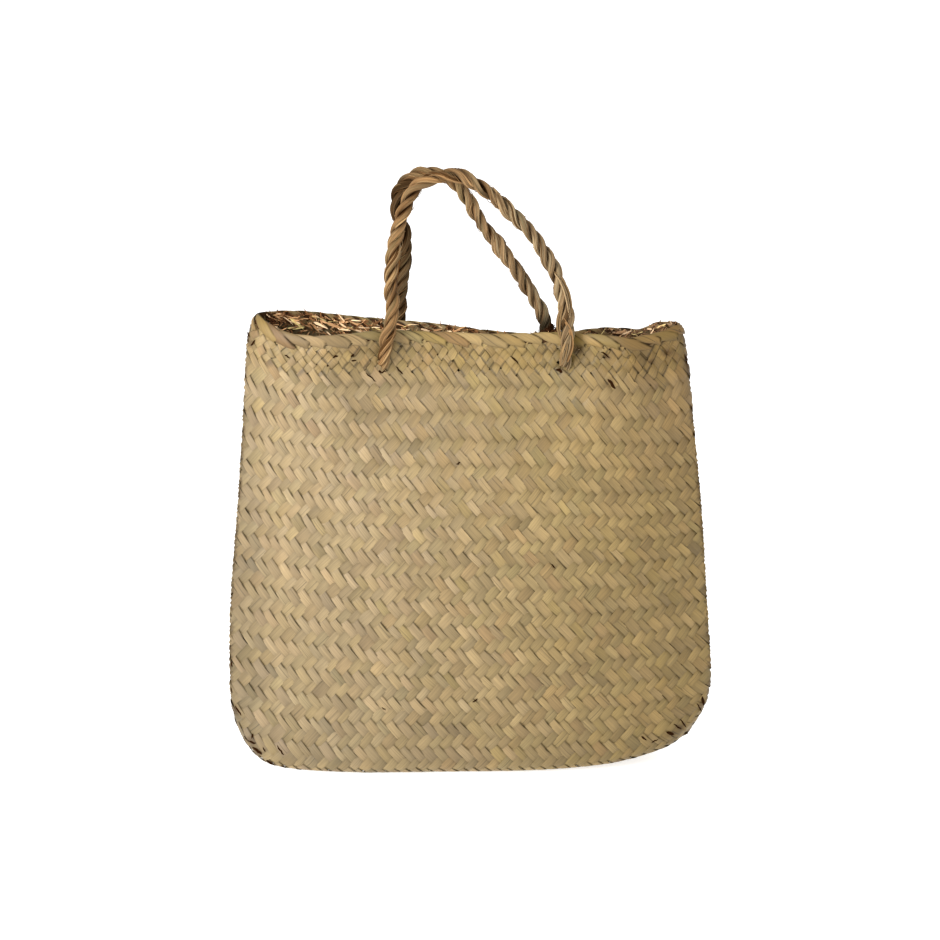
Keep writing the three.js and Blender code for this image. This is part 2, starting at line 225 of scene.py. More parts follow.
def cloth(around, climb):
    """Points of the woven sheet, whose rows run level along the body and turn into the bottom corners."""
    across, back = place_round(np.where(climb < 0, -around, around))
    lift, _, _, turn = corner_turn(across)
    squeeze = 1 - turn * (CLIMB - RIM_HEIGHT + lift) / CLIMB
    climb = np.abs(climb)
    side = np.where(back, 1, -1)
    # Rows stand high at the left, hang towards the right near the top, and wave a little in between
    wave = 0.8 * np.sin(17 * across + climb / 31 + side) + 0.6 * np.sin(29 * across - climb / 19 + 2 * side)
    sag = (5 * smooth(-0.3, -0.9, across) * smooth(80, 200, climb)
           - 7 * smooth(0.3, 0.85, across) * np.exp(-((climb - 295) / 70) ** 2)
           + wave * (1 - across ** 2) * smooth(20, 90, climb)) * smooth(395, 340, climb)
    climb = climb + sag
    level = CLIMB - (CLIMB - climb) / squeeze
    t = np.clip(climb / LEVEL_FROM, 0, 1)
    top = CLIMB - (CLIMB - LEVEL_FROM) / squeeze
    low = (top * t * t * (3 - 2 * t) + LEVEL_FROM * (1 - 0.45 * turn) * t * (1 - t) ** 2
           + LEVEL_FROM / squeeze * t * t * (t - 1))
    climb = np.where(climb < LEVEL_FROM, low, level)
    points = skin(across, climb, back)
    for at, up, wide, tall, move, front_only in BUMPS:
        near = np.exp(-((across - at) / wide) ** 2 - ((climb - up) / tall) ** 2)
        points = points + np.where(back & front_only, 0, near)[..., None] * np.array(move)
    return points


def unit(v):
    return v / np.linalg.norm(v, axis=-1, keepdims=True)


def cloth_frame(around, climb):
    """Point of the woven sheet and its outward normal."""
    point = cloth(around, climb)
    ahead = cloth(around + 0.03, climb) - cloth(around - 0.03, climb)
    up = cloth(around, climb + 0.3) - cloth(around, climb - 0.3)
    return point, unit(np.cross(ahead, up))


# Meshes from rings of points

def tubes(rings):
    """Quads and end faces of closed tubes: rings is (tubes, steps, sides, 3)."""
    count, steps, sides = rings.shape[:3]
    index = np.arange(count * steps * sides).reshape(count, steps, sides)
    a, b = index[:, :-1], index[:, 1:]
    quads = np.stack([a, np.roll(a, -1, 2), np.roll(b, -1, 2), b], -1).reshape(-1, 4)
    ends = np.concatenate([index[:, 0, ::-1], index[:, -1]])
    middle = rings.mean((1, 2), keepdims=True)
    p, q, r = (rings - middle).reshape(-1, 3)[quads[:, :3]].swapaxes(0, 1)
    if np.einsum("ij,ij->", p, np.cross(q, r)) < 0:
        quads, ends = quads[:, ::-1], ends[:, ::-1]
    return quads, ends


def add_piece(name, groups, material, smooth_angle=40):
    """One mesh from groups of tubes, each with its rings, its colour, and its place along and across the strip
    with how dark the painted shadow line along its right edge is. The colour's fourth value is where a split
    runs, or -1 for none."""
    points, corners, sizes, tones, places = [], [], [], [], []
    start = 0
    for rings, tone, place in groups:
        for faces in tubes(rings):
            corners.append((faces + start).ravel())
            sizes.append(np.full(len(faces), faces.shape[1]))
        points.append(rings.reshape(-1, 3) * MM)
        tones.append(np.broadcast_to(tone, rings.shape[:3] + (4,)).reshape(-1, 4))
        places.append(np.broadcast_to(place, rings.shape[:3] + (3,)).reshape(-1, 3))
        start += len(points[-1])
    points, corners, sizes = np.concatenate(points), np.concatenate(corners), np.concatenate(sizes)
    mesh = bpy.data.meshes.new(name)
    mesh.vertices.add(len(points))
    mesh.vertices.foreach_set("co", points.ravel())
    mesh.loops.add(len(corners))
    mesh.loops.foreach_set("vertex_index", corners)
    mesh.polygons.add(len(sizes))
    mesh.polygons.foreach_set("loop_start", np.concatenate([[0], np.cumsum(sizes)[:-1]]))
    mesh.update(calc_edges=True)
    tone = mesh.color_attributes.new("tone", "FLOAT_COLOR", "POINT")
    tone.data.foreach_set("color", np.concatenate(tones).ravel())
    places = np.concatenate(places)
    uv = mesh.uv_layers.new(name="strip")
    uv.data.foreach_set("uv", places[corners, :2].ravel())
    # How dark the painted shadow line along the right edge is
    edge = mesh.attributes.new("edge", "FLOAT", "POINT")
    edge.data.foreach_set("value", places[:, 2])
    mesh.materials.append(material)
    mesh.validate()
    piece = bpy.data.objects.new(name, mesh)
    bpy.context.scene.collection.objects.link(piece)
    bpy.ops.object.select_all(action="DESELECT")
    piece.select_set(True)
    bpy.context.view_layer.objects.active = piece
    bpy.ops.object.shade_smooth_by_angle(angle=math.radians(smooth_angle))
    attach(piece, "root")
    return piece


# Materials

def linear(*colour):
    c = np.array(colour) / 255
    return np.where(c < 0.04045, c / 12.92, ((c + 0.055) / 1.055) ** 2.4)


def flax_material(name, roughness, shine, streak, relief):
    """Dry leaf: the strip's own tone, lengthwise streaks, a painted shadow line along the right edge with less
    gloss in it, a split and fine ribs.
    """
    material = bpy.data.materials.new(name)
    material.use_nodes = True
    nodes, links = material.node_tree.nodes, material.node_tree.links
    shader = nodes["Principled BSDF"]
    shader.inputs["Roughness"].default_value = roughness

    def node(kind, **settings):
        made = nodes.new(kind)
        for key, value in settings.items():
            setattr(made, key, value)
        return made

    def math_node(operation, a, b):
        made = node("ShaderNodeMath", operation=operation)
        for socket, value in zip(made.inputs, (a, b)):
            if hasattr(value, "is_linked"):
                links.new(value, socket)
            else:
                socket.default_value = value
        return made.outputs[0]

    def remap(value, low, high, to_low, to_high):
        made = node("ShaderNodeMapRange", interpolation_type="SMOOTHSTEP")
        links.new(value, made.inputs["Value"])
        for key, number in (("From Min", low), ("From Max", high), ("To Min", to_low), ("To Max", to_high)):
            made.inputs[key].default_value = number
        return made.outputs[0]

    def noise(vector, scale, detail):
        made = node("ShaderNodeTexNoise")
        links.new(vector, made.inputs["Vector"])
        made.inputs["Scale"].default_value = scale
        made.inputs["Detail"].default_value = detail
        return made.outputs["Fac"]

    def stretched(along_scale, across_scale):
        made = node("ShaderNodeVectorMath", operation="MULTIPLY")
        links.new(place.outputs["UV"], made.inputs[0])
        made.inputs[1].default_value = (along_scale, across_scale, 1)
        return made.outputs["Vector"]

    place = node("ShaderNodeUVMap", uv_map="strip")
    parts = node("ShaderNodeSeparateXYZ")
    links.new(place.outputs["UV"], parts.inputs[0])
    across = parts.outputs["Y"]
    tone = node("ShaderNodeAttribute", attribute_name="tone")
    streaks = remap(noise(stretched(0.35, 9), 1, 3), 0.3, 0.7, 1 - streak, 1 + streak)
    broken = remap(noise(stretched(0.8, 0), 1, 1), 0.38, 0.62, 0.15, 1)
    # Painted shadow: a dark line along the right side of a strip, broken along its length, as dark as the edge
    # attribute says
    edge = node("ShaderNodeAttribute", attribute_name="edge")
    right = math_node("MULTIPLY", remap(across, 0.82, 0.97, 0, 1), broken)
    edges = math_node("SUBTRACT", 1, math_node("MULTIPLY", right, edge.outputs["Fac"]))
    gap = math_node("ABSOLUTE", math_node("SUBTRACT", across, tone.outputs["Alpha"]), 0)
    split = remap(gap, 0.015, 0.05, 0.55, 1)
    shade = math_node("MULTIPLY", math_node("MULTIPLY", streaks, edges), split)
    bare = node("ShaderNodeSeparateColor")
    links.new(tone.outputs["Color"], bare.inputs[0])
    glint = math_node("MULTIPLY", remap(bare.outputs["Green"], 0.005, 0.06, 0, shine), edges)
    links.new(glint, shader.inputs["Specular IOR Level"])
    mix = node("ShaderNodeMix", data_type="RGBA", blend_type="MULTIPLY")
    mix.inputs["Factor"].default_value = 1
    links.new(tone.outputs["Color"], mix.inputs["A"])
    links.new(shade, mix.inputs["B"])
    links.new(mix.outputs["Result"], shader.inputs["Base Color"])
    bump = node("ShaderNodeBump")
    bump.inputs["Strength"].default_value = relief
    bump.inputs["Distance"].default_value = 0.0004
    links.new(noise(stretched(0.5, 16), 1, 2), bump.inputs["Height"])
    links.new(bump.outputs["Normal"], shader.inputs["Normal"])
    return material


woven = flax_material("woven flax", 0.5, 0.35, 0.15, 0.4)
plaited = flax_material("plaited flax", 0.52, 0.35, 0.12, 0.4)
roped = flax_material("flax rope", 0.62, 0.1, 0.3, 0.6)
frayed = flax_material("cut flax ends", 0.75, 0.1, 0.25, 0.5)
paper = bpy.data.materials.new("pale floor")
paper.use_nodes = True
paper_shader = paper.node_tree.nodes["Principled BSDF"]
paper_shader.inputs["Base Color"].default_value = (0.7, 0.7, 0.7, 1)
paper_shader.inputs["Roughness"].default_value = 0.9
paper_shader.inputs["Emission Color"].default_value = (1, 1, 1, 1)
paper_shader.inputs["Emission Strength"].default_value = 0.7
floor.data.materials.append(paper)

# Tones of dry flax, darker than they look because the light is bright
LIGHT = 0.338
STRAW = LIGHT * np.array([
    linear(204, 177, 126), linear(213, 188, 144), linear(192, 168, 106), linear(194, 176, 126),
    linear(190, 156, 108),
])
STRAW_SHARE = [0.4, 0.25, 0.17, 0.1, 0.08]
# Powers that turn a darker tone browner
BROWN = np.array([0.8, 0.95, 1.2])


# Ropes

def route_line(route, step):
    """Points at even distances on the smooth curve through a route, as the part's own source draws it."""
    p = np.array(route, float)
    p = np.vstack([2 * p[0] - p[1], p, 2 * p[-1] - p[-2]])
    fine = []
    t = np.linspace(0, 1, 24, endpoint=False)[:, None]
    for a, b, c, d in zip(p, p[1:], p[2:], p[3:]):
        ab, bc, cd = (np.linalg.norm(v) ** 0.5 for v in (b - a, c - b, d - c))
        leave = bc * ((b - a) / ab - (c - a) / (ab + bc) + (c - b) / bc)
        arrive = bc * ((c - b) / bc - (d - b) / (bc + cd) + (d - c) / cd)
        ease = t * t * (3 - 2 * t)
        fine.append(b + (c - b) * ease + leave * t * (1 - t) ** 2 + arrive * t * t * (t - 1))
    fine = np.vstack(fine + [p[-2:-1]])
    run = np.concatenate([[0], np.cumsum(np.linalg.norm(np.diff(fine, axis=0), axis=1))])
    even = np.linspace(0, run[-1], round(run[-1] / step) + 1)
    return np.stack([np.interp(even, run, fine[:, i]) for i in range(3)], -1), even


def carried_frames(line):
    """Two directions square to a line that turn with it and don't spin round it."""
    ahead = unit(np.gradient(line, axis=0))
    side = np.empty_like(line)
    side[0] = unit(np.cross(ahead[0], (0.3, 1, 0.2)))
    for k in range(1, len(line)):
        side[k] = unit(side[k - 1] - ahead[k] * np.dot(side[k - 1], ahead[k]))
    return side, np.cross(ahead, side)


def wander(count, steps, size, seed_step=6):
    """Slow random drift along each of several strands."""
    knots = chance.normal(0, size, (count, steps // seed_step + 3))
    place = np.linspace(0, knots.shape[1] - 1.001, steps)
    low = place.astype(int)
    part = place - low
    part = part * part * (3 - 2 * part)
    return knots[:, low] * (1 - part) + knots[:, low + 1] * part


ROPE_TONES = LIGHT * np.array([1.08, 0.99, 0.84]) * np.array([
    linear(198, 158, 112), linear(176, 136, 92), linear(214, 180, 134), linear(138, 100, 60),
    linear(174, 148, 106), linear(222, 196, 158),
])
YARN_SHARE = [0.3, 0.2, 0.3, 0.12, 0.08]
# Painted shade: the core of a strand, toned near black as the shade deep inside it
ROPE_CORE = np.append(LIGHT * linear(60, 34, 14), -1)
# Painted shade in the grooves between strands: how much of red, green and blue it takes away
GROOVE_PAINTED_SHADE = np.array([0.86, 0.91, 0.95])
ROPE_STEP = 2.2
# Distance from which a rope has its full radius
ROPE_FULL = 57.9
STRANDS = 3
STRAND_LAY = 37
YARNS = 12
YARN_LAY = 50
YARN_SIDES = 4
HAIRS = 60
# Fibres of a strand that has come loose, how far they spread, and half their thickness
LOOSE_FIBRES = 8
LOOSE_SPREAD = 1.1
LOOSE_THICK = 0.55


def laid_strand(strand, line, run, radius, frames, shade):
    """One strand of a rope: yarns that twist round a core toned dark as painted shade, with painted shade in
    the grooves between strands.
    """
    side, over = frames
    steps = len(line)
    ring_angle = np.arange(YARN_SIDES) * 2 * math.pi / YARN_SIDES
    around, outward_part = np.sin(ring_angle)[None, :, None], np.cos(ring_angle)[None, :, None]
    swell = 1 + wander(1, steps, 0.13, 6)[0]
    turn = 2 * math.pi * (run / STRAND_LAY + strand / STRANDS) + wander(1, steps, 0.2, 12)[0]
    out = side * np.cos(turn)[:, None] + over * np.sin(turn)[:, None]
    core = line + out * (0.5 * radius * swell ** 0.5)[:, None]
    ahead = unit(np.gradient(core, axis=0))
    second = np.cross(ahead, out)
    tones = ROPE_TONES[chance.choice(5, YARNS, p=YARN_SHARE)]
    offsets, drift = wander(YARNS, steps, 0.14), wander(YARNS, steps, 0.12, 7)
    streaks = 1 + wander(YARNS, steps, 0.16, 7)
    # Painted shade in the grooves, varying along the rope and lighter on its right part
    groove = 0.9 + wander(1, steps, 0.22, 10)[0] - 0.12 * smooth(0.42, 0.55, run / run[-1])
    groove = np.clip(groove, 0.55, 1)[:, None, None]
    groups = []
    for yarn in range(YARNS):
        angle = 2 * math.pi * yarn / YARNS - 2 * math.pi * run / YARN_LAY + offsets[yarn]
        away = 0.34 * radius * swell * (1 + drift[yarn])
        thick = (0.15 * radius * chance.uniform(0.7, 1.35))[:, None, None]
        centre = core + (out * np.cos(angle)[:, None] + second * np.sin(angle)[:, None]) * away[:, None]
        outward = unit(centre - core)
        aside = np.cross(ahead, outward)
        ring = (centre[:, None] + outward[:, None] * outward_part * 0.8 * thick
                + aside[:, None] * around * 1.2 * thick)
        depth = np.linalg.norm(ring - line[:, None], axis=2) / radius[:, None]
        inner = groove * (1 - smooth(0.5, 0.9, depth)[..., None])
        tone = np.full((steps, YARN_SIDES, 4), -1.0)
        tone[..., :3] = (tones[yarn] * chance.uniform(0.72, 1.22) * streaks[yarn][:, None, None] * shade
                         * (1 - inner * GROOVE_PAINTED_SHADE))
        # With a painted shadow line along one side of each yarn
        place = np.stack(np.broadcast_arrays(
            run[:, None] / 10 + chance.uniform(0, 90), (0.5 + 0.5 * np.sin(ring_angle))[None], 0.3), -1)
        groups.append((ring[None], tone[None], place[None]))
    thick = (0.33 * radius)[:, None, None]
    ring = core[:, None] + (out[:, None] * outward_part + second[:, None] * around) * thick
    groups.append((ring[None], ROPE_CORE, np.array([0, 0.5, 0])))
    return groups


def rope_piece(name, route, node, extra, behind):
    """A rope of three strands with loose hairs and some extra strands, paler and greyer to the right. One that
    lies behind has painted shadow beside the front rope and at its frayed right end."""
    line, run = route_line(route, ROPE_STEP)
    frames = carried_frames(line)
    radius = along(ROPE_ENDS, np.minimum(np.minimum(run, run[-1] - run), ROPE_FULL), RADIUS)
    shade = 1 + smooth(-30, 40, line[:, :1])[:, None] * np.array([0, 0.17, 0.44])
    if behind:
        # Painted shadow of the front rope on the back one, and at the back rope's right end by the rim
        painted_shadow = 0.62 * smooth(-38, -50, line[:, 0]) + 0.8 * smooth(377, 365, line[:, 2]) * (line[:, 0] > 0)
        shade = shade * (1 - painted_shadow)[:, None, None]
    groups = []
    for strand in range(STRANDS):
        groups += laid_strand(strand, line, run, radius, frames, shade)
    groups += loose_hairs(line, *frames, radius, HAIRS)
    for points, tone in extra:
        groups += bundle(points, LOOSE_FIBRES, LOOSE_SPREAD, LOOSE_THICK, ROPE_TONES[tone])
    piece = add_piece(name, groups, roped, 60)
    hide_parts(node)
    return line, radius


def fibre(points, thick, tone):
    """A thin round fibre or strand through a few points."""
    points = np.asarray(points, float)
    ahead = unit(np.gradient(points, axis=0))
    first = unit(np.cross(ahead, (0.31, 0.4, 0.2)))
    second = np.cross(ahead, first)
    angle = np.arange(4) * math.pi / 2
    taper = thick * np.sqrt(np.clip(1 - np.linspace(-0.96, 0.96, len(points)) ** 4, 0, None))
    ring = points[:, None] + (first[:, None] * np.cos(angle)[None, :, None]
                              + second[:, None] * np.sin(angle)[None, :, None]) * taper[:, None, None]
    return ring[None], np.append(tone, -1), np.array([chance.uniform(0, 90), 0.5, 0])


def bundle(points, count, spread, thick, tone):
    """Fibres side by side along a few points, close at both ends."""
    points = np.asarray(points, float)
    t = np.linspace(0, len(points) - 1, 4 * len(points))
    path = np.stack([np.interp(t, np.arange(len(points)), points[:, i]) for i in range(3)], -1)
    path[1:-1] = (path[:-2] + path[1:-1] + path[2:]) / 3
    full = np.sin(np.linspace(0.35, math.pi - 0.35, len(path)))[:, None]
    return [fibre(path + chance.normal(0, spread, 3) * full, thick * chance.uniform(0.7, 1.3),
                  tone * chance.uniform(0.7, 1.2)) for _ in range(count)]


def loose_hairs(line, side, over, radius, count):
    """Fibres that stand off the rope along its length."""
    hairs = []
    for _ in range(count):
        first = chance.integers(14, len(line) - 22)
        steps = first + np.arange(0, chance.integers(5, 9))
        t = np.linspace(0, 1, len(steps))
        angle = chance.uniform(0, 2 * math.pi) + 2 * math.pi * 2.2 * (steps - first) / STRAND_LAY
        out = side[steps] * np.cos(angle)[:, None] + over[steps] * np.sin(angle)[:, None]
        off = radius[steps] * 0.88 + chance.uniform(0.3, 2.2) * t ** 2
        hairs.append(fibre(line[steps] + out * off[:, None], chance.uniform(0.14, 0.3),
                           ROPE_TONES[chance.choice(5)] * chance.uniform(0.7, 1.2)))
    return hairs


# Strands that have come unlaid at the right end of the front rope, with their tones
UNLAID = [
    ([(79.5, -22.5, 367), (75, -25, 357), (70.8, -24, 347), (70, -21, 339)], 5),
    ([(72, -22, 376), (77.5, -24, 366), (78.7, -24.3, 354), (75.5, -22.5, 342)], 0),
    ([(77, -25, 363), (74, -25.4, 352), (71.8, -22.8, 340)], 5),
    ([(75, -25, 359), (72.6, -25.2, 350), (70.9, -22.3, 339.5)], 2),
    ([(71.5, -20.5, 386), (69.2, -20, 376), (68.8, -19.5, 368), (70.5, -20.5, 360)], 2),
    ([(65.5, -18, 411), (70.4, -18, 405), (74.2, -18.5, 397), (76.6, -19, 387), (78, -19.5, 377)], 2),
    ([(65, -19, 410), (69.4, -19.5, 404), (72.8, -20.5, 396), (75.2, -21.5, 386), (77, -21.5, 376)], 5),
]
# A strand that stands off the left side of the back rope
STRAYED = [([(-58.3, 25, 390), (-58.3, 20.5, 403), (-56, 15.8, 416), (-55.5, 12, 430)], 3)]
rope_lines = [rope_piece("front_handle_rope", FRONT_ROUTE, "handle_front", UNLAID, False),
              rope_piece("back_handle_rope", BACK_ROUTE, "handle_back", STRAYED, True)]


def make_way(points):
    """Points of the cloth moved aside where a rope passes."""
    flat = points.reshape(-1, 3).copy()
    for line, radius in rope_lines:
        ends = np.abs(np.arange(len(line)) - len(line) / 2) > len(line) / 2 - 36
        route, size = line[ends], radius[ends]
        near = np.flatnonzero((flat[:, 2] > 295) & (np.abs(flat[:, 0]) < 110))
        for chunk in np.array_split(near, max(1, len(near) // 4000)):
            away = flat[chunk][:, None] - route[None]
            distance = np.linalg.norm(away, axis=2)
            nearest = distance.argmin(1)
            d = np.maximum(distance[np.arange(len(chunk)), nearest], 1e-3)
            keep = np.minimum(size[nearest], 6) * 0.95
            wanted = (d ** 3 + keep ** 3) ** (1 / 3)
            shift = np.where(d < 16, wanted - d, 0) * smooth(16, 9, d)
            flat[chunk] += away[np.arange(len(chunk)), nearest] / d[:, None] * shift[:, None]
    return flat.reshape(points.shape)


# Woven strips

# Climb from one row of crossings to the next, how many rows, how far a strip rises over a crossing, and its
# thickness
ROW = 5.275
ROWS = 76
RISE = 0.62
THICK = 0.34
# How far the falling strips stand proud of the rising ones, which makes their floats the longer ones
PROUD = 0.18
# Rows of plain check under the rim
CHECKED_ROWS = 5
# Least height over the floor
FLOOR_CLEAR = 0.02


def row_climb(row):
    """Climb of a row of crossings, the rows a little closer near the top."""
    return row * ROW * (1 - 0.024 * smooth(22, 70, np.abs(row)))


def row_state(row):
    """1 where a falling strip lies on top in a row of crossings, -1 where a rising one does."""
    twill = np.where(((row + 1) // 2) % 2 == 0, -1, 1)
    check = np.where(row % 2 == 0, 1, -1)
    return np.where(row >= ROWS - CHECKED_ROWS, check, twill)


# Shift of each edge between two strips, the same on both sides of the base
falling_shift = chance.uniform(-0.18, 0.18, ROUND // 2 + 1)
rising_shift = chance.uniform(-0.18, 0.18, ROUND // 2 + 1)


def shift_at(table, edge, first):
    """The table's value at an edge's number, odd about the base and repeating round the bag."""
    turned = (edge + ROUND / 2) % ROUND - ROUND / 2
    value = table[np.clip(np.round(np.abs(turned) - first).astype(int), 0, len(table) - 1)]
    return np.where((turned == 0) | (np.abs(turned) == ROUND / 2), 0, np.sign(turned) * value)


def tone_and_painted_light(points):
    """Slow change over the bag, painted light with some tone of the leaf: painted falloff of the light from the
    left to the right, painted shade at the left fold, towards the right below the rim and low down, painted
    light in the middle high up, a painted pool of light bounced from the floor along the bottom edge, and
    browner to the right and near the rim, partly the leaf's own colour and partly a painted sheen that makes
    the left paler.
    """
    x, z = points[..., 0], points[..., 2]
    warm = smooth(-120, 200, x)
    top = smooth(318, 344, z)
    # Painted light: falling off from the left to the right, painted shade at the left fold, below the rim on
    # the right and low down, and painted bounce light along the bottom edge
    light = 0.995 - 0.13 * smooth(40, 200, x) - 0.24 * smooth(-145, -194, x) + 0.03 * smooth(140, 240, z)
    light = light * (1 + 0.02 * top - 0.2 * smooth(295, 350, z) * smooth(20, 90, x))
    light = light * (1 - 0.1 * smooth(70, 15, z) + 0.25 * smooth(12, 2, z))
    light = light * (1 + 0.03 * np.exp(-(x / 80) ** 2) * smooth(140, 240, z))
    # Browner to the right and near the rim: partly the leaf's colour, partly painted sheen that pales the left
    right = smooth(50, 190, x)
    green = 0.99 - 0.05 * warm - 0.05 * top - 0.03 * right * (1 + 1.8 * smooth(200, 330, z))
    blue = 1.03 - 0.35 * warm - 0.22 * top - 0.05 * right
    return light[..., None] * np.stack([np.ones_like(x), green, blue], -1)


# Dark marks on the front, painted shade where the weave opens at the bottom corners, near the rim and at the
# rope holes: place across and up, half width, half height, how dark
SHADE_MARKS = [
    (109, 325.5, 4.5, 5, 0.5), (84, 350, 5, 4, 0.69), (106, 345, 4, 1.6, 0.6), (154, 347, 5, 3, 0.68),
    (141, 341, 3, 2, 0.65), (-194, 44, 3.5, 4.5, 0.6), (-181, 22, 4, 4, 0.6), (-176, 12, 4, 3.5, 0.6),
    (-165, 4.5, 4, 2.6, 0.6), (166, 29, 4, 2, 0.6), (174, 34, 4, 4, 0.6), (191, 50, 3, 4, 0.6),
    (172, 341, 4, 6.5, 0.69), (-172, 354, 3, 5, 0.6), (-69.5, 336, 3.5, 2, 0.6), (71.5, 334, 4, 2, 0.6),
    (21, 341, 5.5, 4.5, 0.25),
]
# Painted shadow: dark slits where the strips of the front stand apart: place across and up, half run across and
# up, half width
SHADOW_SLITS = [
    (-192, 45, 2.7, -3.2, 1), (-180, 26, -0.7, -2.1, 0.8), (-181, 21, 4, -0.8, 1), (-176, 14, 4, -2.6, 1.5),
    (-165, 4, 3.6, -2.6, 2.2), (-154, 2, 2.4, -1.2, 1.3), (-141, 1, 2.2, 0, 0.6),
    (-156, 17, 2.8, -3.7, 0.8), (-170, 16, 1.1, -1.7, 0.6), (-186, 23, 1.7, -1.5, 0.6),
    (-197, 83, 0.4, -2.6, 0.8), (-198, 61, 0.4, -2.6, 0.8), (-70, 59, 1.6, -1.1, 0.6),
    (165, 30, 3.2, -1.4, 1.35), (143, 28, 2.2, -1.6, 1), (152, 25, 2.8, 1.2, 0.6),
    (171, 35, 3.4, -2.8, 0.6), (176, 37, 2.7, -4.1, 0.6), (193, 53, 1, -4.4, 1.4),
    (190, 48, 2.4, -4.5, 0.6), (180, 22, 2.2, 1.6, 0.8), (66, 180, 1.4, -1.6, 0.6), (4, 67, 1.9, 1.5, 0.7),
    (-170, 354, 2, 2.7, 0.8), (-174, 360, 0.7, -1.8, 1), (-104, 347, 2, 0.5, 0.8), (-91, 347, 1.2, 1, 0.8),
    (-110, 340, 0.6, -0.5, 0.7), (-142, 346, 2, -1.3, 0.6), (-68.3, 333.4, 2.8, -0.5, 1.8),
    (-64, 340, 1, 2.1, 0.6), (-55.2, 333.5, 3, -3, 0.6), (-77, 329, 4, -3.8, 0.5), (-9, 263, 1.7, 1.1, 0.6),
    (-90, 343, 2, -0.4, 0.6), (70.5, 332.8, 3.4, -1.1, 1.3), (105, 356, 1.6, -1.1, 0.6),
    (105, 347, 3.5, -2.2, 0.6), (110.3, 324.2, 3, -3.4, 1.3), (176, 301, 0.9, -2.3, 0.8),
    (179, 278, 0.5, -2.2, 0.6), (35, 341, 2.6, -3, 0.6), (170, 340.5, 1.2, -4, 1),
]


def shade_marked(points):
    """How far each point lies in the front's painted shade marks."""
    near = np.zeros(points.shape[:-1])
    for x, z, wide, tall, dark in SHADE_MARKS:
        apart = ((points[..., 0] - x) / wide) ** 2 + ((points[..., 2] - z) / tall) ** 2
        near = np.maximum(near, dark * np.exp(-apart ** 2))
    return np.where(points[..., 1] < 0, near, 0)


# How the strips of each slant lie and look: the way they climb, the share of its room that a strip fills, how
# far a strip's left edge and right edge drop, the roll of a float, how far tones spread and vary, the slant's
# painted sheen (falling strips paler, rising ones darker and more yellow), how dark the painted shadow lines
# along right sides are, and a float's painted light at its start with the change along it, lighter at its left
# end as if lit from the left
FALLING = SimpleNamespace(
    sign=1, fills=(1, 1.08), drop=(0.06, 0.15), roll=(0.06, 0.09), spread=0.9, vary=0.12,
    tone_and_painted_light=(1.03, 1.02, 1.02), edges=(0.25, 0.85), fade=(1.04, -0.09),
)
RISING = SimpleNamespace(
    sign=-1, fills=(1.03, 1.11), drop=(0.04, 0.04), roll=(0.02, 0.06), spread=0.65, vary=0.1,
    tone_and_painted_light=(0.97, 0.97, 0.92), edges=(0, 0.35), fade=(0.93, 0.14),
)

# Steps of a strip over each crossing, and how far it has come up at each where it changes sides
CROSSING = np.array([0.1, 0.32, 0.68, 0.9])
ARCH = np.array([0.24, 0.68, 0.95, 1])
# Points round a strip's section: place across, top or bottom, and painted shade, lighter at the left edge and
# darker at the right edge and underneath
SECTION = np.array([-1, -0.45, 0.45, 1, 0.9, -0.9])
SECTION_SIDE = np.array([1, 1, 1, 1, -1, -1])
SECTION_PAINTED_SHADE = np.array([1.09, 1.07, 0.99, 0.9, 0.6, 0.6])


def strip_floats(strips, slant, rows):
    """Place along each strip, how far each step lies over or under, and the number of its float."""
    shifts, first = (rising_shift, 0) if slant is FALLING else (falling_shift, 0.5)
    crossed = strips[:, None] - slant.sign * (rows + 0.5)[None]
    low, high = (edge + shift_at(shifts, edge, first)
                 for edge in (crossed - 0.5 * slant.sign, crossed + 0.5 * slant.sign))
    travel = low[:, :, None] + (high - low)[:, :, None] * CROSSING
    state = slant.sign * row_state(np.where(rows >= 0, rows, -rows - 1))
    before = np.concatenate([state[:1], state[:-1]])
    after = np.concatenate([state[1:], state[-1:]])
    level = 1.06 * state[:, None] * np.where((before == state)[:, None], 1, ARCH)
    level = level * np.where((after == state)[:, None], 1, ARCH[::-1])
    run = np.cumsum(np.concatenate([[0], np.diff(state) != 0]))
    return travel.reshape(len(strips), -1), level.reshape(-1), np.repeat(run, len(CROSSING))


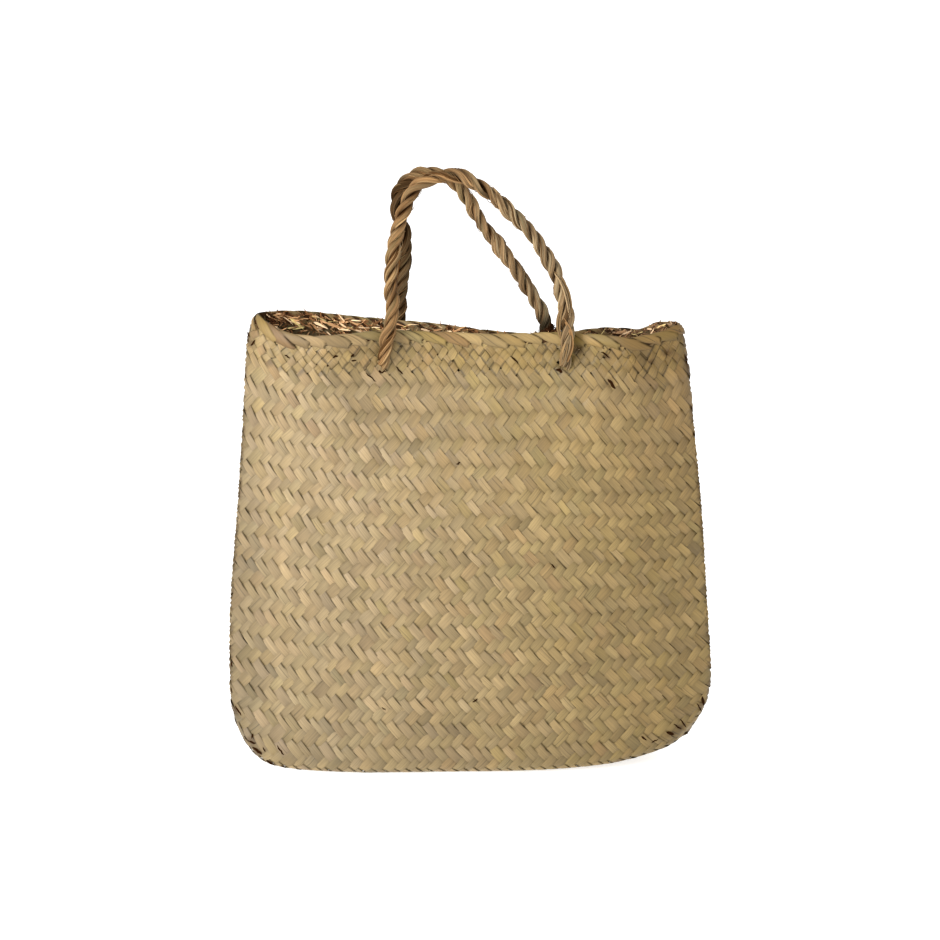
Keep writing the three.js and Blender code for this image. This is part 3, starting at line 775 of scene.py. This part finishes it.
def strip_rings(strips, slant, rows, travel, level, in_float):
    """Rings of each strip's section, the place of their points round the bag, and how loose the weave is."""
    count, steps = travel.shape
    own, first = (falling_shift, 0.5) if slant is FALLING else (rising_shift, 0)
    left = strips - 0.5 + shift_at(own, strips - 0.5, first)
    right = strips + 0.5 + shift_at(own, strips + 0.5, first)
    fills = chance.uniform(*slant.fills, count)[:, None] + wander(count, steps, 0.03, 8)
    half = ((right - left) / 2)[:, None] * fills
    up_rows = np.where(rows >= 0, rows, -rows - 1)
    checked = np.repeat(smooth(ROWS - CHECKED_ROWS - 3, ROWS - CHECKED_ROWS, up_rows), len(CROSSING))
    across, back = place_round((strips[:, None] + travel) / 2)
    behind = back ^ np.repeat(rows < 0, len(CROSSING))
    loose = checked * np.where(behind, 0, smooth(0.97, 0.85, np.abs(across)))
    half = half * (1 - loose * np.abs(wander(count, steps, 0.17, 4)))
    middle = ((left + right) / 2)[:, None] + wander(count, steps, 0.03, 10)
    middle = middle + loose * wander(count, steps, 0.09, 5)
    spot = middle[:, :, None] + half[:, :, None] * SECTION
    a, b = (spot, travel[:, :, None]) if slant is FALLING else (travel[:, :, None], spot)
    a, b = np.broadcast_arrays(a, b)
    floats = in_float[-1] + 1
    roll = chance.normal(*slant.roll, (count, floats))[:, in_float]
    lift = chance.normal(1, 0.08, (count, floats))[:, in_float]
    drop = np.where(SECTION < 0, *slant.drop) * (np.abs(SECTION) > 0.5)
    height = (RISE * level * lift)[:, :, None] + SECTION_SIDE * THICK / 2 - drop + roll[:, :, None] * SECTION
    height = height + slant.sign * PROUD * (1 - 0.8 * checked)[:, None]
    around = (a + b) / 2
    point, normal = cloth_frame(around, row_climb(a - b))
    rings = point + normal * (height - WALL / 2)[..., None]
    rings[..., 2] = np.maximum(rings[..., 2], FLOOR_CLEAR)
    return rings, around, loose


def straw(*shape):
    return STRAW[chance.choice(len(STRAW), shape, p=STRAW_SHARE)]


def strip_tones(slant, rings, around, loose, level, in_float):
    """Colour and place of each point of the strips: a tone for each strip, a slow change along it and one for
    each float, then painted shade (where floats dive under, in the loose check, at the folds and in the marks),
    painted light along each float, splits, and painted shadow lines along right sides."""
    count, steps = rings.shape[:2]
    floats = in_float[-1] + 1
    slow = straw(count, floats // 5 + 2)
    spot = np.arange(floats) / 5
    low, part = spot.astype(int), (spot % 1)[None, :, None]
    slow = slow[:, low] * (1 - part) + slow[:, low + 1] * part
    mixed = 0.45 * straw(count)[:, None] + 0.3 * slow + 0.25 * straw(count, floats)
    mixed = STRAW[0] + (mixed - STRAW[0]) * slant.spread
    mixed = mixed * chance.normal(1.005, slant.vary, (count, floats))[..., None] * slant.tone_and_painted_light
    begin, size = np.searchsorted(in_float, np.arange(floats)), np.bincount(in_float)
    gone = (np.arange(steps) - begin[in_float]) / np.maximum(size[in_float] - 1, 1)
    across = np.abs(place_round(around)[0])
    picked = (chance.random((count, floats)) < 0.4)[:, in_float]
    # Painted shade where a float dives under its neighbour, times the slant's painted light along the float
    shade = (0.88 + 0.12 * np.clip(np.abs(level), 0, 1)) * (slant.fade[0] + slant.fade[1] * gone)
    # Painted shade at the start of picked floats in the loose check rows
    shade = shade * (1 - 0.6 * loose * (picked & (gone < 0.2)))
    # Painted shade on picked floats at the folds and in the painted shade marks
    dark = np.where(picked[:, :, None] & (across > 0.984), 0.5, 1) * (1 - 0.92 * shade_marked(rings))
    tone = np.empty(rings.shape[:3] + (4,))
    tone[..., :3] = mixed[:, in_float][:, :, None] * tone_and_painted_light(rings) * SECTION_PAINTED_SHADE[:, None]
    tone[..., :3] *= shade[:, :, None, None] * dark[..., None] ** BROWN
    split = chance.random((count, floats)) < 0.14
    split = np.where(split, chance.uniform(0.25, 0.75, (count, floats)), -1)
    tone[..., 3] = split[:, in_float][:, :, None]
    length = np.arange(steps) * 0.175 + 40 * chance.random(count)[:, None]
    # Darkness of the painted shadow line along the right side, stronger in the loose check and, for falling
    # strips, on picked floats at the folds
    edge = np.maximum(chance.uniform(*slant.edges, (count, floats))[:, in_float], 0.6 * loose)
    if slant is FALLING:
        edge = np.maximum(edge, np.where(picked, smooth(0.9, 0.95, across[:, :, 0]), 0))
    return tone, np.stack(np.broadcast_arrays(length[:, :, None], SECTION / 2 + 0.5, edge[:, :, None]), -1)


def woven_group(strips, slant, whole):
    """Strips of one slant, from rim to rim, or from the rim to a bottom corner where not whole."""
    strips = np.asarray(strips, float)
    rows = np.arange(ROWS - 1, -ROWS - 1 if whole else -1, -1)
    travel, level, in_float = strip_floats(strips, slant, rows)
    rings, around, loose = strip_rings(strips, slant, rows, travel, level, in_float)
    tone, place = strip_tones(slant, rings, around, loose, level, in_float)
    return make_way(rings), tone, place


half_round = ROUND // 2
quarter = half_round // 2
for name, numbers, slant in (
    ("falling_strips_left", np.arange(1, quarter), FALLING),
    ("falling_strips_right", np.arange(quarter, half_round), FALLING),
    ("rising_strips_left", np.arange(quarter) + 0.5, RISING),
    ("rising_strips_right", np.arange(quarter, half_round) + 0.5, RISING),
):
    groups = [woven_group(numbers, slant, True)]
    if slant is FALLING:
        groups.append(woven_group([0 if numbers[0] == 1 else half_round], FALLING, False))
    piece = add_piece(name, groups, woven)
    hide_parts("bag_body")


# Tone of the painted shadow slits, height of their middle over the wall's, and half their thickness
SHADOW_SLIT_TONE = np.append(LIGHT * linear(64, 38, 18), -1)
SLIT_HEIGHT = 0.95
SLIT_THICK = 0.3


def shadow_slits():
    """Flat dark lenses laid on the weave as painted shadow where the strips of the front stand apart."""
    sheet_places = np.meshgrid(np.arange(0, ROUND / 2, 0.05), np.arange(8, 408.0), indexing="ij")
    around, climb = (v.ravel() for v in sheet_places)
    sheet = cloth(around, climb)
    steps = np.linspace(-1, 1, 6)
    groups = []
    for x, z, run_x, run_z, width in SHADOW_SLITS:
        nearest = [np.argmin((sheet[:, 0] - x - run_x * t) ** 2 + (sheet[:, 2] - z - run_z * t) ** 2)
                   for t in steps]
        point, normal = cloth_frame(around[nearest], climb[nearest])
        ahead = unit(np.broadcast_to(point[-1] - point[0], point.shape))
        aside = np.cross(normal, ahead) * (width * np.sqrt(1 - 0.95 * steps ** 2))[:, None]
        centre = point + normal * (SLIT_HEIGHT - WALL / 2)
        proud = SLIT_THICK * normal
        rings = np.stack([centre + aside, centre + proud, centre - aside, centre - proud], 1)
        rings[..., 2] = np.maximum(rings[..., 2], FLOOR_CLEAR)
        groups.append((rings[None], SHADOW_SLIT_TONE, np.array([0, 0.5, 0])))
    return groups


piece = add_piece("shadow_slits", shadow_slits(), frayed)
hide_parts("bag_body")


# Plaited rim

# Leaves round the rim, how many leaf widths each slants over in a whole turn, and its steps
LEAVES = 46
STARTS = 3.2
LEAF_STEPS = 26
# The rim's core, toned dark as painted shade where it shows between the leaves
RIM_CORE = np.append(LIGHT * linear(96, 66, 38), -1)


def rim_frame(around):
    """Middle of the rim's bead, up and outward, for a place round the bag in strips."""
    high, low = np.full_like(around, CLIMB), np.full_like(around, CLIMB - PLAIT_HEIGHT)
    middle = wall(around, (high + low) / 2)
    ahead = unit(wall(around + 0.1, (high + low) / 2) - wall(around - 0.1, (high + low) / 2))
    up = unit(wall(around, high) - wall(around, low))
    out = unit(np.cross(ahead, np.broadcast_to((0.0, 0.0, 1.0), ahead.shape)))
    return middle - out * WALL / 2, up, out


rim_places = np.linspace(0, ROUND, 2001)
rim_steps = np.linalg.norm(np.diff(rim_frame(rim_places)[0], axis=0), axis=1)
rim_lengths = np.concatenate([[0], np.cumsum(rim_steps)])


def rim_leaves():
    """Leaf-shaped strips that slant over the rim, each edge lying on the next, round a core toned dark as
    painted shade between the leaves.
    """
    groups = []
    spacing = rim_lengths[-1] / LEAVES
    across = np.array([-1, -0.5, 0.5, 1])
    for leaf in range(LEAVES):
        turn = np.linspace(chance.uniform(-0.52, -0.15), 1.25, LEAF_STEPS) * math.pi
        drift = chance.normal(0, 0.12) * spacing
        starts = STARTS * chance.uniform(0.88, 1.12)
        centre = leaf * spacing + drift - turn / (2 * math.pi) * starts * spacing
        middle_turn = chance.uniform(-0.15, 0.3)
        narrow = 0.45 + 0.55 * np.clip(np.cos((turn - middle_turn) * 0.62), 0, 1) ** 1.5
        narrow = narrow * (0.2 + 0.8 * smooth(0, 0.32 * math.pi, turn - turn[0]))
        half = spacing * chance.uniform(0.54, 0.72) * narrow[:, None]
        around = np.interp((centre[:, None] + half * across) % rim_lengths[-1], rim_lengths, rim_places)
        middle, up, out = rim_frame(around)
        fatten = 0.3 + 0.32 * across * chance.uniform(0.6, 1.3) + np.array([-0.12, 0.1, 0.1, -0.12])
        fatten = fatten + wander(1, LEAF_STEPS, 0.12, 8)[0][:, None]
        rows = []
        for layer in (0.2, -0.15):
            size_up = PLAIT_HEIGHT / 2 + fatten + layer
            size_out = 1.3 + fatten + layer
            rows.append(middle + up * (np.sin(turn)[:, None] * size_up)[..., None]
                        + out * (np.cos(turn)[:, None] * size_out)[..., None])
        rings = np.concatenate([rows[0], rows[1][:, ::-1]], 1)
        tone = np.empty((LEAF_STEPS, 8, 4))
        ends = smooth(40, 160, np.abs(rings[..., :1]))
        tone[..., :3] = STRAW[chance.choice(len(STRAW), p=STRAW_SHARE)] * chance.normal(1.12, 0.12)
        tone[..., :3] *= np.array([1, 0.98, 0.94]) - ends * np.array([0.08, 0.13, 0.22])
        # Painted shade: darker at the edge that lies under the next leaf and on the underside
        tone[..., :3] *= tone_and_painted_light(rings) * np.array([0.72, 0.95, 1.05, 1.05, 0.6, 0.6, 0.6, 0.6])[:, None]
        # Painted shade where a leaf narrows to tuck under its neighbours; darker towards the left
        tone[..., :3] *= (0.62 + 0.38 * narrow)[:, None, None] * (1 - 0.16 * smooth(0, -110, rings[..., :1]))
        tone[..., 3] = chance.uniform(0.3, 0.7) if chance.random() < 0.3 else -1
        place_across = np.concatenate([across, across[::-1]]) / 2 + 0.5
        length = np.arange(LEAF_STEPS) * 0.25 + 40 * chance.random()
        # With a strong painted shadow line along each leaf's right side
        place = np.stack(np.broadcast_arrays(length[:, None], place_across, 0.8), -1)
        groups.append((make_way(rings)[None], tone[None], place[None]))
    around = np.linspace(0, ROUND, 241)
    middle, up, out = (v[:, None] for v in rim_frame(around))
    angle = np.arange(8) * math.pi / 4
    rings = (middle + up * (1 + np.sin(angle) * (PLAIT_HEIGHT / 2 - 1.6))[:, None]
             + out * np.cos(angle)[:, None])
    groups.append((make_way(rings)[None], RIM_CORE, np.array([0, 0.5, 0])))
    return groups


piece = add_piece("rim_plait_leaves", rim_leaves(), plaited)
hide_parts("rim_plait")


# Cut ends inside the mouth

# Painted light: tones of the cut ends, not scaled by LIGHT as the strips' are, so brighter than the same leaf
# outside, to stand in for light in the shaded mouth
CUT_TONES = 1.25 * np.array([1, 1.03, 1.08]) * np.array([
    linear(74, 44, 24), linear(126, 86, 52), linear(186, 142, 98), linear(234, 200, 156),
    linear(214, 190, 124),
])
# The greyer tone that the ends by the right fold are drawn towards, painted as bright as the cut ends
GREYED = 1.25 * linear(142, 112, 86)
CUT_THICK = 0.14
# Fine frayed ends, paler bits and tufts: how many, and the share of each tone
FINE_ENDS = 1700
FINE_SHARE = [0.42, 0.36, 0.22]
PALE_BITS = 380
PALE_SHARE = [0, 0.2, 0.42, 0.26, 0.12]
TUFT_SHARE = [0.25, 0.3, 0.25, 0.12, 0.08]
# Tufts along the back rim: place across, how many ends, how tall, whether dark; the dark ones are toned near
# black as painted shadow between the ropes
TUFTS = [
    (-0.6, 9, 5, False), (-0.08, 10, 5, False), (0.02, 10, 5, False), (0.36, 30, 8, True),
    (0.39, 30, 9, True), (0.62, 14, 3.6, False), (0.7, 14, 3.6, False), (0.78, 14, 3.6, False),
    (0.84, 12, 3.2, False), (0.9, 18, 4.5, False), (0.96, 16, 4.5, False),
]
# Pieces of leaf left inside the back rim: place across, rise, length, half width, tone
LEAF_PIECES = [
    (-0.84, 0, 15, 2, 4), (-0.72, -2, 12, 1.5, 3), (-0.66, -1, 14, 1.8, 2), (-0.6, -4, 11, 1.4, 3),
    (-0.5, -2, 9, 1.2, 3), (-0.2, 1, 8, 1.2, 3), (0.68, 2, 9, 1.2, 2), (0.8, 1, 8, 1.2, 1),
]
# The knot of fibres where the back rope comes through the rim, toned near black as painted shadow between the
# ropes
TANGLE_PLACE = (64.5, 5, 360.5)
TANGLE_SIZE = 6
TANGLE_FIBRES = 70


def cut_end(around, rise, inward, lean, length, width, tone):
    """A flat cut end of a strip that stands off the rim at a place round the bag."""
    middle, up, out = (v[0] for v in rim_frame(np.full(1, float(around))))
    ahead = np.cross(up, out)
    across = np.array([-1, 1, 0.8, -0.8])
    tone = tone + 0.45 * smooth(80, 120, middle[0]) * (GREYED - tone)
    base = middle - out * inward + up * rise
    lean = unit(up * lean[0] + ahead * lean[1] - out * lean[2])
    flat = unit(np.cross(lean, unit(chance.normal(0, 0.7, 3) - out)))
    face = np.cross(lean, flat)
    t = np.linspace(0, 1, 6)
    curl = chance.uniform(-0.35, 0.35) / length
    spine = base + lean * (t * length)[:, None] + face * (curl * (t * length) ** 2)[:, None]
    taper = width * (1 - chance.uniform(0.2, 0.8) * t) * np.sqrt(np.clip(1.04 - (2 * t - 1) ** 4, 0, None))
    rings = (spine[:, None] + flat * (taper[:, None] * across)[..., None]
             + face * (CUT_THICK * np.array([1, 1, -1, -1]))[None, :, None])
    # With a faint painted shadow line along one side
    place = np.stack(np.broadcast_arrays(
        (t * length / 10)[:, None] + 40 * chance.random(), across / 2 + 0.5, 0.2), -1)
    return rings[None], np.append(tone * chance.uniform(0.75, 1.2), -1), place[None]


def cut_ends():
    """Dark frayed ends and paler bits of leaf inside the rim, and tufts that stand above its back."""
    groups = []

    def inside(low, high):
        """A place round the bag clear of both folds, and a rise that is less deep towards them."""
        around = (chance.uniform(0.016, 0.484) + 0.5 * chance.integers(2)) * ROUND
        return around, chance.uniform(low if abs(place_round(around)[0]) < 0.85 else low / 3, high)

    for _ in range(FINE_ENDS):
        tone = CUT_TONES[chance.choice(3, p=FINE_SHARE)]
        lean = (chance.uniform(-0.8, 0.6), chance.normal(0, 1), chance.uniform(-0.1, 0.6))
        groups.append(cut_end(*inside(-17, 5), chance.uniform(1.6, 4), lean,
                              chance.uniform(2.5, 7), chance.uniform(0.25, 0.8), tone))
    for _ in range(PALE_BITS):
        tone = CUT_TONES[chance.choice(5, p=PALE_SHARE)]
        lean = (chance.normal(0, 0.45), chance.choice([-1, 1]), chance.uniform(-0.02, 0.2))
        groups.append(cut_end(*inside(-10, 4), chance.uniform(2.6, 4.4), lean,
                              chance.uniform(4, 11), chance.uniform(0.4, 1.15), tone))
    for across, count, tall, dark in TUFTS:
        slope, deep, wide = (0.45, 7, 1.7) if dark else (0.9, 2.5, 0.9)
        for _ in range(count):
            around = (3 - across - chance.normal(0, 0.025)) * ROUND / 4
            lean = (chance.uniform(0.3, 1), chance.normal(0, slope), chance.uniform(-0.3, 0.5))
            # Painted shadow: the dark tufts are toned near black
            tone = CUT_TONES[0] * 0.5 if dark else CUT_TONES[chance.choice(5, p=TUFT_SHARE)]
            groups.append(cut_end(around, chance.uniform(2, 4.5), chance.uniform(-1, deep), lean,
                                  chance.uniform(0.5, 1) * tall, chance.uniform(0.3, wide), tone))
    for across, rise, length, width, kind in LEAF_PIECES:
        around = (3 - across) * ROUND / 4
        groups.append(cut_end(around, rise, 4.4, (-0.12, -1, 0.02), length, width, CUT_TONES[kind]))
    return groups + dark_tangle()


def dark_tangle():
    """Fibres wound in a knot, toned near black as painted shadow."""
    fibres = []
    for _ in range(TANGLE_FIBRES):
        first, second = unit(chance.normal(0, 1, (2, 3)) * np.array([1, 1, 1.25]))
        turn = chance.uniform(0, 6) + np.linspace(0, chance.uniform(1, 2.2), 6)[:, None]
        size = TANGLE_SIZE * chance.uniform(0.5, 1.05)
        points = TANGLE_PLACE + size * (first * np.cos(turn) + second * np.sin(turn) * 0.8)
        fibres.append(fibre(points, chance.uniform(0.4, 1), CUT_TONES[0] * chance.uniform(0.1, 0.6)))
    return fibres


piece = add_piece("rim_cut_ends", cut_ends(), frayed)
